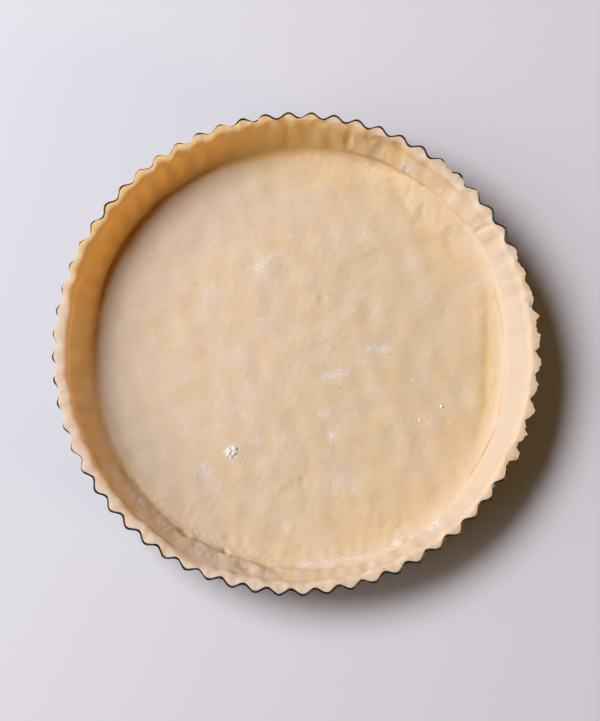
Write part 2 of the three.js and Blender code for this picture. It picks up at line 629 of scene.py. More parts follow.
@dataclass(frozen=True)
class CoatedSteelFinish:
    """Thin steel with a dark non-stick coating, half glossy, worn on its cut edge.

    Attributes:
        coating: Colour of the coating.
        dulled: Colour where use has dulled it.
        steel: Colour of bare steel.
        flour: Colour of the flour on it.
        wear_mark: Mesh attribute that says where the coating is worn.
        clouds: Size of the mottle in metres.
        floured: How much flour lies on it.
        roughness: Least roughness, and how much the mottle adds.
        metallic: Metallic share of the coating, and what bare steel adds.
    """

    coating: Colour = (0.012, 0.011, 0.010)
    dulled: Colour = (0.030, 0.027, 0.025)
    steel: Colour = (0.26, 0.25, 0.24)
    flour: Colour = (0.62, 0.58, 0.54)
    wear_mark: str = "wear"
    clouds: float = 0.022
    floured: float = 0.05
    roughness: tuple[float, float] = (0.30, 0.16)
    metallic: tuple[float, float] = (0.25, 0.7)

    def material(self, effects: Effects) -> bpy.types.Material:
        """Builds the tin's material."""
        material, nodes, shader, coordinates = new_material("dark_coated_steel")
        mottle = effects.mottle(nodes, coordinates, self.clouds)
        wide, fine = mottle.outputs["Wide"], mottle.outputs["Fine"]
        chips = nodes.ramp(nodes.noise(coordinates, size=0.0016, detail=3.0, rough=0.65), low=0.56, high=0.68)
        worn = nodes.math("MULTIPLY", nodes.mark(self.wear_mark), chips, clamp=True)
        coated = nodes.blend(nodes.math("MULTIPLY", wide, fine), self.coating, self.dulled)
        metal = nodes.blend(worn, coated, self.steel)
        dust = effects.dust(nodes, coordinates)
        dust.inputs["Amount"].default_value = self.floured
        nodes.join(nodes.blend(dust.outputs["Mask"], metal, self.flour), shader.inputs["Base Color"])
        targets = {"Roughness": (fine, self.roughness), "Metallic": (worn, self.metallic)}
        for target, (value, (least, more)) in targets.items():
            nodes.join(nodes.math("ADD", nodes.math("MULTIPLY", value, more), least), shader.inputs[target])
        peel = nodes.noise(coordinates, size=0.0008, detail=2.0, rough=0.5)
        nodes.bump(shader, peel, "orange peel of the coating", strength=0.25, distance=0.0001)
        return material


@dataclass(frozen=True)
class WorktopFinish:
    """Plain pale stage floor.

    Attributes:
        colour: Its colour.
        roughness: Its roughness.
        specular: Strength of its reflections.
    """

    colour: Colour = (0.75, 0.70, 0.71)
    roughness: float = 0.6
    specular: float = 0.3

    def material(self) -> bpy.types.Material:
        """Builds the floor's material."""
        material, _, shader, _ = new_material("stage_floor")
        shader.inputs["Base Color"].default_value = (*self.colour, 1.0)
        shader.inputs["Roughness"].default_value = self.roughness
        shader.inputs["Specular IOR Level"].default_value = self.specular
        return material


# ---------------------------------------------------------------------------------------------------------
# Sub-assemblies


@dataclass
class TartTin:
    """The fluted tin, pressed from thin sheet.

    Attributes:
        height: Height of the cut edge.
        rim_crest: Outside radius over the crests at the cut edge.
        base_crest: Outside radius over the crests at the base.
        corner: Bend between the base and the wall.
        facets: Facets of each flute.
        spacing: Distance between two rings of points.
        plain_base: Radius inside which the base has no rings.
        flutes_start: Radii over which the flutes rise out of the base.
        worn_edge: Height of the worn strip along the cut edge.
    """

    height: float
    rim_crest: float
    base_crest: float = 113.0
    corner: float = 2.0
    facets: int = 12
    spacing: float = 2.4
    plain_base: float = 80.0
    flutes_start: tuple[float, float] = (101.0, 109.0)
    worn_edge: float = 0.2

    def radius(self, height: float) -> float:
        """Outside radius at mid flute, at a height."""
        lean = (self.rim_crest - self.base_crest) / self.height
        return self.base_crest - FLUTE_DEPTH / 2 + lean * height

    def build(self, effects: Effects) -> bpy.types.Object:
        """Builds the tin's piece and dresses it."""
        corner, top = (self.radius(0.0), 0.0, 2 * self.corner), (self.radius(self.height), self.height, 0.0)
        outline = rounded_outline([(0.0, 0.0, 0.0), corner, top], self.spacing)
        mesh = bmesh.new()
        spin_flute(mesh, [point for point in outline if not 0.0 < point.x <= self.plain_base], self.facets)
        repeat_flutes(mesh)
        points = points_of(mesh)
        angle, radius = np.arctan2(points[:, 1], points[:, 0]), np.hypot(points[:, 0], points[:, 1])
        share = ease(radius, *self.flutes_start)
        waved = radius + FLUTE_DEPTH / 2 * flute_wave(np.degrees(angle)) * share
        points[:, 0], points[:, 1] = waved * np.cos(angle), waved * np.sin(angle)
        move_points(mesh, points)
        bmesh.ops.recalc_face_normals(mesh, faces=mesh.faces)
        bmesh.ops.solidify(mesh, geom=mesh.faces, thickness=SHEET)
        self._mark_wear(mesh)
        piece = piece_from(mesh, "fluted_tin")
        piece.data.materials.append(CoatedSteelFinish().material(effects))
        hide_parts("tart_tin")
        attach(piece, BODY)
        return piece

    def _mark_wear(self, mesh: Mesh) -> None:
        """Marks the cut edge, where the coating is worn."""
        layer = mesh.verts.layers.float.new(CoatedSteelFinish().wear_mark)
        for vert in mesh.verts:
            vert[layer] = 1.0 if vert.co.z > self.height - self.worn_edge else 0.0


@dataclass(frozen=True)
class Handling:
    """How rolling, pressing and trimming left the pastry uneven.

    Attributes:
        waves: (lobes, reach, crest) of each wave of the crease at the wall's foot.
        swell: Rise and fall of the whole floor.
        rolled: Unevenness of the floor.
        grainy: Fine unevenness of floor and wall.
        wavy: Unevenness of the wall.
        lumps: Lumps on the floor beside the wall.
        lumpy: Where those lumps are.
        tears: Roughness of the foot, where the dough was torn and pressed together.
        torn: Where it is rough.
        laps: Dough folded over the wall, with the heights between which each lap thins out.
        heap: Dough heaped up on the floor, and where.
        feet: Where the wall's foot is thick and soft.
        fingers: How far fingers pushed the wall into the flutes.
        fingered: Where they did.
        thick_rims: Where the cut rim is thicker.
        fluted_rim: Where the rim's inner edge follows the flutes.
        cut: Unevenness of the cut rim.
        crumbly: Its fine unevenness.
        rim_inside: Unevenness of its inner edge.
    """

    waves: tuple[Corner, ...] = ((1, 1.6, 30.0), (2, 1.4, 116.0), (3, 1.1, 38.0), (4, 1.1, 36.0))
    swell: float = 0.25
    rolled: Ripple = Ripple(12.0, 40.0, 0.14, 11)
    grainy: Ripple = Ripple(4.0, 11.0, 0.032, 12)
    wavy: Ripple = Ripple(7.0, 22.0, 0.17, 13)
    lumps: Ripple = Ripple(5.0, 15.0, 0.08, 14)
    lumpy: tuple[Zone, ...] = (Zone(234.0, 304.0, 1.0, 10.0), Zone(30.0, 62.0, 0.7, 8.0))
    tears: Ripple = Ripple(1.8, 6.0, 0.07, 15)
    torn: tuple[Zone, ...] = (Zone(206.0, 266.0, 1.0, 10.0), Zone(42.0, 74.0, 0.7, 8.0))
    laps: tuple[tuple[Zone, Place], ...] = (
        (Zone(30.0, 72.0, 0.7), (11.0, 21.0)),
        (Zone(-48.0, 8.0, 0.6), (9.0, 20.0)),
    )
    heap: Zone = Zone(36.0, 58.0, 2.6, 9.0)
    feet: tuple[Zone, ...] = (
        Zone(-66.0, 54.0, 2.2, 14.0),
        Zone(54.0, 78.0, 0.9, 10.0),
        Zone(236.0, 306.0, 1.6, 14.0),
    )
    fingers: float = 0.05
    fingered: tuple[Zone, ...] = (Zone(104.0, 168.0, 0.6, 12.0), Zone(73.0, 89.0, 0.2, 4.0))
    thick_rims: tuple[Zone, ...] = (
        Zone(98.0, 166.0, 0.7, 3.0),
        Zone(166.0, 208.0, 2.4, 3.0),
        Zone(208.0, 236.0, 2.2, 3.0),
        Zone(248.0, 300.0, 1.4, 3.0),
        Zone(40.0, 62.0, 0.9, 3.0),
        Zone(-40.0, 20.0, 0.8, 3.0),
    )
    fluted_rim: Zone = Zone(102.0, 164.0, 0.4, 8.0)
    cut: Ripple = Ripple(4.0, 30.0, 0.16, 31)
    crumbly: Ripple = Ripple(1.4, 3.2, 0.05, 33)
    rim_inside: Ripple = Ripple(8.0, 26.0, 0.34, 32)


@dataclass(frozen=True)
class Spill:
    """How far the cut rim stands over the tin's edge.

    Attributes:
        radius: Radius at which its unevenness is read.
        short: How far it falls short of the edge where nothing adds to it.
        least: How far it may fall short.
        most: How far it may reach.
        loose: Its unevenness.
        ragged: Its fine unevenness.
        pushed: Where it was pushed out over the edge.
        in_troughs: Where it fills the flutes' troughs.
        full: Where it reaches further all along.
    """

    radius: float = 120.0
    short: float = -0.45
    least: float = -0.35
    most: float = 2.1
    loose: Ripple = Ripple(7.0, 30.0, 0.30, 41)
    ragged: Ripple = Ripple(2.4, 6.0, 0.20, 42)
    pushed: tuple[Zone, ...] = (Zone(-32.0, 21.0, 1.0, 5.0), Zone(40.0, 52.0, 0.8, 4.0))
    in_troughs: tuple[Zone, ...] = (Zone(150.0, 205.0, 1.2, 12.0), Zone(85.0, 130.0, 0.6, 10.0))
    full: Zone = Zone(104.0, 204.0, 0.5, 12.0)

    def at(self, angle: np.ndarray, x: np.ndarray, y: np.ndarray) -> np.ndarray:
        """Reach over the edge for each point."""
        grow = self.radius / np.maximum(np.hypot(x, y), 1.0)
        ragged = self.ragged.at(x * grow, y * grow)
        trough = 0.5 - 0.5 * flute_wave(angle)
        reach = self.short + self.loose.at(x * grow, y * grow) + 0.4 * ragged
        reach += over(self.pushed, angle) * (0.8 + 1.5 * ragged + trough)
        reach += over(self.in_troughs, angle) * trough + self.full.at(angle)
        return np.clip(reach, self.least, self.most)


@dataclass(frozen=True)
class Tones:
    """Where flour lies on the pastry, where butter shows, and where shade and light are painted on it.

    Attributes:
        streaks: Streaks and patches of flour.
        clouds: Faint clouds of flour.
        blush: Wide unevenness of the butter.
        painted_orange_shade_floor: Where painted orange shade deepens the floor's rim beside the shaded wall.
        painted_orange_shade_wall: Where painted orange shade deepens the wall that lies in shade.
        painted_pale_sunlit_wall: Where a painted paler tone lightens the sunlit wall.
        pale_rim: How much paler the cut rim is.
        buttery_rim: Where it is less so.
        painted_shade_floor: Where painted shade darkens the floor's rim beside the wall.
        painted_shade_sunlit_wall: Where painted shade dims the sunlit wall.
    """

    streaks: tuple[Mark, ...]
    clouds: Ripple = Ripple(8.0, 36.0, 0.30, 51, grain=40.0, drawn=1.3)
    blush: Ripple = Ripple(10.0, 36.0, 0.07, 52)
    # painted orange shade on the floor's rim and the wall that lie in shade
    painted_orange_shade_floor: Zone = Zone(70.0, 176.0, 0.35, 20.0)
    painted_orange_shade_wall: Zone = Zone(80.0, 160.0, 0.65, 14.0)
    # painted light: a paler tone on the sunlit wall
    painted_pale_sunlit_wall: Zone = Zone(-132.0, 45.0, 0.35, 20.0)
    pale_rim: float = 0.45
    buttery_rim: Zone = Zone(-95.0, 30.0, 0.5, 15.0)
    # painted shade: darker dough beside the wall, and on the sunlit wall to dim it
    painted_shade_floor: Zone = Zone(95.0, 228.0, 0.8, 25.0)
    painted_shade_sunlit_wall: Zone = Zone(-76.0, 30.0, 0.7, 22.0)

    def flour(self, x: np.ndarray, y: np.ndarray, radius: np.ndarray) -> np.ndarray:
        """How floured each point is."""
        clouds = np.clip(0.02 + 0.4 * self.clouds.at(x, y), 0.0, 0.3)
        return sum(-streak.on(x, y) for streak in self.streaks) + clouds * (1.0 - ease(radius, 70.0, 104.0))

    def butter(self, x: np.ndarray, y: np.ndarray, angle: np.ndarray, radius: np.ndarray) -> np.ndarray:
        """Butter tone of each point, with painted orange shade and a painted paler sunlit wall, apart from
        flour and dips.
        """
        butter = 0.12 + 0.22 * ease(x, -60.0, 100.0) + 0.12 * ease(-y, 0.0, 95.0) + self.blush.at(x, y)
        # painted shade: deeper orange on the floor's rim where the wall shades it
        butter += ease(radius, 78.0, 97.0) * self.painted_orange_shade_floor.at(angle)
        # a little butter all round the wall, and painted orange shade on the wall that lies in shade
        butter += ease(radius, 101.0, 109.0) * (0.10 + self.painted_orange_shade_wall.at(angle))
        # painted light: a paler tone on the sunlit wall
        butter -= ease(radius, 97.0, 112.0) * self.painted_pale_sunlit_wall.at(angle)
        return butter - ease(radius, 113.5, 116.0) * (self.pale_rim - self.buttery_rim.at(angle))

    def pressed(self, angle: np.ndarray, radius: np.ndarray) -> np.ndarray:
        """How much painted shade each point gets, on the floor's rim beside the wall and on the sunlit wall.
        """
        # painted shade: darker dough on the floor's rim beside the wall and on the sunlit wall
        floor = band(radius, 60.0, 94.0, 99.0, 104.0) * self.painted_shade_floor.at(angle)
        return floor + band(radius, 98.0, 112.0, 113.0, 116.0) * self.painted_shade_sunlit_wall.at(angle)


@dataclass
class PastryShell:
    """The pastry that lines the tin, pressed in by hand.

    Attributes:
        tin: The tin that it lines.
        rim: Height of the cut rim.
        marks: Creases, laps and presses at places of their own.
        tones: Where flour and butter show, and where shade and light are painted.
        hand: The rest of its unevenness.
        spill: How far the rim stands over the tin's edge.
        floor: Height of the floor's top.
        rim_width: Thickness of the rim at mid flute.
        rim_rounding: Rounding of its inner edge.
        rim_scale: Radius at which its unevenness is read.
        rim_seat: Height over the tin's edge from which the rim may stand out.
        crease_radius: Radius where the floor meets the wall.
        facets: Facets of each flute, which are halved ring by ring towards the middle.
        spacing: Distance between two rings on the wall.
        floor_spacing: Distance between two rings on the floor.
        seam: Width of the ring where the facets are halved.
    """

    tin: TartTin
    rim: float
    marks: tuple[Mark, ...]
    tones: Tones
    hand: Handling = Handling()
    spill: Spill = Spill()
    floor: float = 4.5
    rim_width: float = 3.6
    rim_rounding: float = 2.0
    rim_scale: float = 118.0
    rim_seat: float = 0.08
    crease_radius: float = 107.0
    facets: int = 16
    spacing: float = 0.69
    floor_spacing: float = 1.32
    seam: float = 1.1

    def outside(self, height: float) -> float:
        """Outside radius at mid flute, at a height."""
        return self.tin.radius(height) - SHEET - GAP

    def build(self, effects: Effects) -> bpy.types.Object:
        """Builds the pastry's piece and dresses it."""
        mesh = self._turned()
        points = points_of(mesh)
        move_points(mesh, self._pressed(points))
        bmesh.ops.recalc_face_normals(mesh, faces=mesh.faces)
        self._mark(mesh, points)
        piece = piece_from(mesh, "lined_pastry")
        piece.data.materials.append(PastryFinish().material(effects))
        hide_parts("pastry_shell")
        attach(piece, BODY)
        return piece

    def _turned(self) -> Mesh:
        """The plain turned shell, finer near its wall than at its middle."""
        under = SHEET + GAP
        rim_out = self.outside(self.rim)
        rim_in = rim_out - self.rim_width
        edge = self.tin.height + self.rim_seat
        foot = Vector((self.outside(0.0) - self.tin.corner, 0.0, under))
        skin = [foot] + [Vector((self.outside(z), 0.0, z)) for z in (3.0, 14.0, edge - 1.0, edge)]
        bowl = [
            (rim_out + 0.02, edge + 0.04, 0.0),
            (rim_out + 0.04, self.rim, 0.3),
            (rim_in + self.rim_rounding, self.rim, self.rim_rounding),
            (rim_in, self.rim - 1.3 * self.rim_rounding, self.rim_rounding),
            (self.crease_radius + 1.8, self.floor + 5.6, 5.0),
            (self.crease_radius - 0.6, self.floor, 3.0),
            (95.0, self.floor, 0.0),
        ]
        mesh = bmesh.new()
        spin_flute(mesh, skin + rounded_outline(bowl, self.spacing), self.facets)
        outer, steps = bowl[-1][0], self.facets
        while steps > 1:
            outer, steps, outer_before = outer - self.seam, steps // 2, outer
            inner = outer / 2 if steps > 1 else 0.0
            ends = [(outer, self.floor, 0.0), (inner, self.floor, 0.0)]
            spin_flute(mesh, rounded_outline(ends, self.floor_spacing), steps)
            self._close_seam(mesh, outer_before, outer)
            outer = inner
        spin_flute(mesh, [foot, Vector((0.0, 0.0, under))], self.facets)
        repeat_flutes(mesh)
        return mesh

    @staticmethod
    def _close_seam(mesh: Mesh, outer: float, inner: float) -> None:
        """Fills the ring between two radii, where one flute has unlike numbers of facets."""

        def on_ring(edge: bmesh.types.BMEdge, radius: float) -> bool:
            """Whether an edge lies on the circle of a radius."""
            return all(abs(vert.co.xy.length - radius) < 0.02 for vert in edge.verts)

        rims, ends = [], []
        for radius in (outer, inner):
            rim = [edge for edge in mesh.edges if edge.is_boundary and on_ring(edge, radius)]
            rims += rim
            ends.append(sorted({vert for edge in rim for vert in edge.verts}, key=lambda vert: vert.co.y))
        sides = [mesh.edges.new((ends[0][place], ends[1][place])) for place in (0, -1)]
        bmesh.ops.triangle_fill(mesh, use_beauty=True, use_dissolve=False, edges=rims + sides)

    def _pressed(self, points: np.ndarray) -> np.ndarray:
        """Moves the plain shell's points as the tin and the hand shape them."""
        x, y, z = points.T
        angle = np.degrees(np.arctan2(y, x))
        radius = np.hypot(x, y)
        edge = self.tin.height
        rim_out = self.outside(self.rim)
        rim_in = rim_out - self.rim_width
        outer = (np.abs(radius - self.outside(z)) < 0.3) | (z < self.floor - 0.5)
        bowl = ~outer & (radius < rim_out - 0.4)

        # the flutes, which sink back over the rim and towards the middle of the underside
        share = np.where(bowl, ease(radius, rim_in + 1.2, rim_out + 0.2) * ease(z, edge - 1.5, edge), 1.0)
        share = np.where(z < 2.0, ease(radius, 90.0, 105.0), share)
        moved = radius + share * (FLUTE_DEPTH / 2 * flute_wave(angle))
        height = z.copy()

        # the hand-pressed bowl
        waved = self._waved(angle, radius, z)
        moved += (waved - radius) * bowl
        wall = ease(z, self.floor + 0.6, self.floor + 6.0) * bowl
        grow = waved / np.maximum(radius, SLIVER)
        push = self._relief(x * grow, y * grow, z, angle, radius, wall) * bowl
        moved -= 0.94 * wall * push
        height += (1.0 - 0.66 * wall) * push
        moved += self._fingered(angle, z) * bowl * (1.0 - share)

        # the cut rim and what spills over the tin's edge
        top = ease(z, edge + 0.06, edge + 0.10) * ~bowl
        moved += top * self.spill.at(angle, x, y)
        round_x, round_y = (self.rim_scale * part / np.maximum(radius, 1.0) for part in (x, y))
        cut = self.hand.cut.at(round_x, round_y) + self.hand.crumbly.at(round_x, round_y)
        height += ease(z, edge - 1.5, self.rim) * np.clip(cut, -0.45, 0.35)
        inner_edge = self.hand.rim_inside.at(round_x, round_y) - over(self.hand.thick_rims, angle)
        inner_edge += flute_wave(angle) * self.hand.fluted_rim.at(angle)
        moved += inner_edge * bowl * ease(z, edge - 6.0, edge) * (1.0 - ease(radius, rim_in + 0.8, rim_out))
        turn = np.radians(angle)
        return np.column_stack((moved * np.cos(turn), moved * np.sin(turn), height))

    def _waved(self, angle: np.ndarray, radius: np.ndarray, z: np.ndarray) -> np.ndarray:
        """Radius after the crease at the foot of the wall has been pressed unevenly."""
        near_wall = ease(radius, 96.0, self.crease_radius) * (1.0 - ease(z, self.floor, self.rim))
        crease = np.zeros_like(radius)
        for lobes, reach, crest in self.hand.waves:
            crease += reach * np.cos(np.radians(lobes * (angle - crest)))
        return radius + near_wall * crease

    def _relief(
        self,
        x: np.ndarray,
        y: np.ndarray,
        z: np.ndarray,
        angle: np.ndarray,
        radius: np.ndarray,
        wall: np.ndarray,
    ) -> np.ndarray:
        """Height of the pressed relief over the bowl's plain surface.

        Args:
            x: The points' places after the crease was pressed.
            y: The same.
            z: Their plain heights.
            angle: Their directions.
            radius: Their plain radii.
            wall: 0 on the floor and 1 on the wall.

        Returns:
            The relief at each point, along the surface's normal.
        """
        hand, flat = self.hand, 1.0 - wall
        relief = hand.swell * np.sin(3 * np.radians(angle) + radius / 20.0) * ease(radius, 0.0, 64.0) * flat
        relief += hand.rolled.at(x, y) * flat + hand.grainy.at(x, y) + hand.wavy.at(x, y) * wall
        relief += hand.lumps.at(x, y) * over(hand.lumpy, angle) * band(radius, 84.0, 98.0, 108.0, 112.0)
        relief += hand.tears.at(x, y) * over(hand.torn, angle) * band(radius, 99.0, 103.0, 110.0, 114.0)
        relief += sum(mark.on(x, y) for mark in self.marks)
        for lap, (thick, thin) in hand.laps:
            relief += wall * lap.at(angle) * (1.0 - ease(z, thick, thin))
        relief += np.exp(-(((radius - 104.5) / 5.5) ** 2)) * hand.heap.at(angle)
        return relief + np.exp(-(((radius - self.crease_radius - 0.8) / 4.4) ** 2)) * over(hand.feet, angle)

    def _fingered(self, angle: np.ndarray, z: np.ndarray) -> np.ndarray:
        """How far the wall is pushed out by fingers that pressed it into the flutes."""
        on_wall = ease(z, self.floor + 0.8, self.floor + 5.0) * (1.0 - 0.7 * ease(z, 14.0, 21.0))
        return (self.hand.fingers + over(self.hand.fingered, angle)) * flute_wave(angle) * on_wall

    def _mark(self, mesh: Mesh, plain: np.ndarray) -> None:
        """Marks where flour lies, where butter shows and where shade and light are painted, for the finish.
        """
        angle = np.degrees(np.arctan2(plain[:, 1], plain[:, 0]))
        radius = np.hypot(plain[:, 0], plain[:, 1])
        grow = self._waved(angle, radius, plain[:, 2]) / np.maximum(radius, SLIVER)
        x, y = plain[:, 0] * grow, plain[:, 1] * grow
        flour = self.tones.flour(x, y, radius)
        # butter tone with the painted orange shade and the painted paler sunlit wall, less where flour lies
        butter = self.tones.butter(x, y, angle, radius) - 0.3 * flour
        # painted shade: deeper orange in the marks' dips and creases
        butter += sum(0.4 * np.clip(-mark.on(x, y), 0.0, 0.8) for mark in self.marks)
        finish = PastryFinish()
        marks = {
            finish.flour_mark: flour,
            finish.butter_and_shade_mark: butter,
            # painted shade on the floor's rim beside the wall and on the sunlit wall
            finish.painted_shade_mark: self.tones.pressed(angle, radius),
        }
        for name, values in marks.items():
            layer = mesh.verts.layers.float.new(name)
            for vert, value in zip(mesh.verts, np.clip(values, 0.0, 1.0).tolist()):
                vert[layer] = value


WALL_MARKS = (
    # laps and creases where the round was folded, upper right
    Mark(
        ((76, 105.4), (72.6, 104.9), (67.8, 103.3), (58.9, 106.1), (53, 108.2), (46.4, 112.6), (40, 113)),
        width=0.7,
        depth=0.35,
        lift=-0.2,
        reach=4.0,
        fade=0.2,
    ),
    Mark(
        ((56, 107.8), (54.8, 108), (47.2, 106.6), (39.7, 107.4), (33.7, 108.9), (31.1, 111.5)),
        width=0.6,
        depth=0.45,
        lift=-0.2,
        reach=4.0,
        fade=0.2,
    ),
    Mark(((52, 105), (46, 104.6), (38, 106.2)), 0.6, 0.25),
    Mark(((71, 115), (69, 112.6), (67.5, 114), (65, 114.5)), 0.9, 0.5),
    Mark(((32.6, 110.5), (30.2, 116)), 0.9, 0.6),
    Mark(((69, 112.2), (62, 113.6), (57, 113)), 2.4, 1.2, fade=0.35),
    Mark(((76, 111), (73, 111.4)), 2.2, 0.9, fade=0.4),
    Mark(((90, 114.4), (91.5, 107.6)), 0.9, 0.45, fade=0.3),
    # foot of the wall, pressed in deep where it is steep
    Mark(
        ((80, 107), (92, 107), (110, 107.4), (128, 107), (146, 106.8), (158, 105.6), (168, 104)),
        width=3.0,
        depth=1.3,
        fade=0.16,
    ),
    Mark(((156, 104.6), (168, 103), (180, 101.6), (190, 101), (202, 102.5)), 2.8, 0.7, fade=0.3),
    Mark(
        (
            *((200, 104.2), (209.9, 104.7), (214.5, 103.4), (225.8, 103.6)),
            *((234.3, 105.2), (237.7, 106), (243.3, 106.4)),
        ),
        width=0.7,
        depth=0.4,
        fade=0.3,
    ),
    Mark(((243, 106.8), (248, 106.3), (258.4, 102.8), (269, 103.2)), 0.8, 0.4, fade=0.35),
    Mark(((272, 104), (281, 105), (290, 107)), 0.9, 0.35, fade=0.35),
    Mark(((233.6, 104.6), (239.4, 106)), 1.3, 1.9, fade=0.4),
    Mark(((247, 104.4), (250.4, 105.6)), 1.2, 1.8, fade=0.4),
    Mark(((210, 103.4), (215.6, 104.8)), 1.1, 0.8, fade=0.4),
    Mark(((256, 105.2), (265, 109.6)), 2.0, 1.4, fade=0.35),
    Mark(((252, 108.6), (258, 110.8)), 1.6, 1.0, fade=0.4),
    # right-hand side
    Mark(
        (
            *((20, 106.4), (8.6, 105.2), (-1, 105.5), (-9.2, 105.1)),
            *((-20.9, 106.5), (-27.4, 106.1), (-33, 106), (-43, 107.4)),
        ),
        width=0.6,
        depth=0.7,
        lift=0.35,
        reach=5.0,
        fade=0.15,
    ),
    Mark(((-12, 105.4), (-20.9, 106.7), (-27.4, 106.1), (-34, 106.2)), 0.8, 0.7, fade=0.3),
    Mark(
        ((26, 104), (14, 99.5), (-0.6, 96), (-8.2, 95.9), (-16.2, 97.4), (-26.9, 99.6), (-36, 102)),
        width=2.6,
        depth=0.6,
        fade=0.4,
    ),
    Mark(((-4, 110.5), (-10, 110), (-17, 111.2)), 0.8, 0.5),
    # floor
    Mark(((297.2, 99.8), (302.4, 100.3)), 0.8, 0.45, fade=0.4),
    Mark(((296.8, 108), (300.4, 107.4)), 0.8, 0.8, fade=0.4),
    Mark(((250, 97), (246, 98.6)), 1.6, 0.5, fade=0.4),
    Mark(((268, 86.6), (264, 87)), 2.0, -0.3, fade=0.4),
    Mark(((49.5, 102), (48, 101), (45.9, 93), (48.2, 88.6)), 1.5, 0.3),
    Mark(((53, 93), (52, 97)), 6.0, 0.4),
    Mark(((34, 93), (33.8, 98)), 5.0, 0.4),
    Mark(((61, 33), (68, 29.5)), 2.4, 0.45),
    Mark(((266, 63), (259, 68.7)), 2.2, -0.4),
    Mark(((271, 61), (270, 66)), 1.8, 0.35),
)

FLOUR_STREAKS = (
    Mark(((97, 55), (108, 50.7), (116, 48)), 1.5, 0.9),
    Mark(((89, 60), (93, 60)), 1.4, 0.9),
    Mark(((141, 29), (128, 23)), 1.3, 0.5),
    Mark(((240, 38), (225, 41), (214, 40)), 1.6, 0.6),
    Mark(((310, 16), (330, 22), (344, 30)), 1.6, 0.9),
    Mark(((6, 33), (3, 40), (1, 49)), 1.8, 0.9),
    Mark(((285, 32), (300, 34)), 1.5, 0.8),
    Mark(((289, 42), (293, 48)), 2.2, 1.0),
    Mark(((287, 50), (283, 54)), 1.6, 0.8),
    Mark(((20, 66), (21, 76)), 1.3, 0.6),
    Mark(((231, 58), (234, 59), (239, 61)), 3.2, 1.0),
    Mark(((229, 71), (231, 78)), 3.2, 0.8),
    Mark(((242, 46), (246, 50)), 2.4, 0.8),
    Mark(((218.6, 104.6), (224.4, 106.8)), 1.4, 1.0),
    Mark(((303.6, 109.4), (309, 110.7)), 1.9, 1.0),
    Mark(((294, 106.4), (298, 106.8)), 1.5, 1.0),
    Mark(((267, 105), (276, 104.4), (283.3, 104.9), (289.3, 107)), 1.2, 0.9, fade=0.15),
    Mark(((60, 111), (55.2, 110.2)), 1.8, 0.8),
    Mark(((6.5, 118), (12, 118)), 1.6, 0.9),
    Mark(((47, 110), (44, 111)), 1.8, 0.6),
    Mark(((334, 77), (329, 74)), 2.6, 0.5),
)


@dataclass(frozen=True)
class Sprinkle:
    """A patch of loose bits.

    Attributes:
        place: Middle of the patch.
        spread: How far the bits lie from it.
        count: Number of bits.
        smallest: Smallest bit's size across.
        largest: Largest bit's size across.
    """

    place: Place
    spread: float
    count: int
    smallest: float
    largest: float


FLOUR_PATCHES = (
    Sprinkle((234.5, 59.0), 2.6, 34, 1.0, 3.0),
    Sprinkle((236.0, 60.0), 5.0, 26, 0.4, 1.1),
    Sprinkle((243.0, 48.5), 3.5, 14, 0.4, 1.3),
    Sprinkle((228.7, 72.0), 3.0, 14, 0.4, 1.5),
    Sprinkle((229.5, 77.0), 3.0, 10, 0.4, 1.3),
    Sprinkle((211.0, 72.0), 2.0, 8, 0.3, 0.9),
    Sprinkle((344.6, 60.0), 1.4, 7, 0.4, 1.3),
    Sprinkle((221.8, 106.0), 2.0, 8, 0.4, 1.2),
    Sprinkle((307.0, 109.0), 2.0, 10, 0.5, 1.5),
    Sprinkle((296.0, 107.0), 1.6, 8, 0.4, 1.3),
    Sprinkle((266.0, 87.6), 2.2, 8, 0.4, 1.0),
    Sprinkle((246.0, 62.0), 26.0, 70, 0.25, 0.7),
    Sprinkle((0.0, 0.0), 100.0, 330, 0.3, 0.9),
    Sprinkle((338.3, 77.0), 0.8, 3, 1.2, 2.2),
    Sprinkle((329.8, 69.8), 0.8, 2, 1.0, 1.5),
    Sprinkle((305.0, 109.8), 2.2, 12, 0.5, 1.6),
)
CRUMB_PATCHES = (
    Sprinkle((0.0, 0.0), 100.0, 36, 0.4, 1.0),
    Sprinkle((250.0, 70.0), 14.0, 12, 0.5, 1.1),
    Sprinkle((66.0, 104.0), 10.0, 10, 0.4, 1.0),
)


class Loose(Enum):
    """Kinds of loose bits on the pastry, each with its height as a share of its width."""

    FLOUR = 0.36
    CRUMB = 0.5


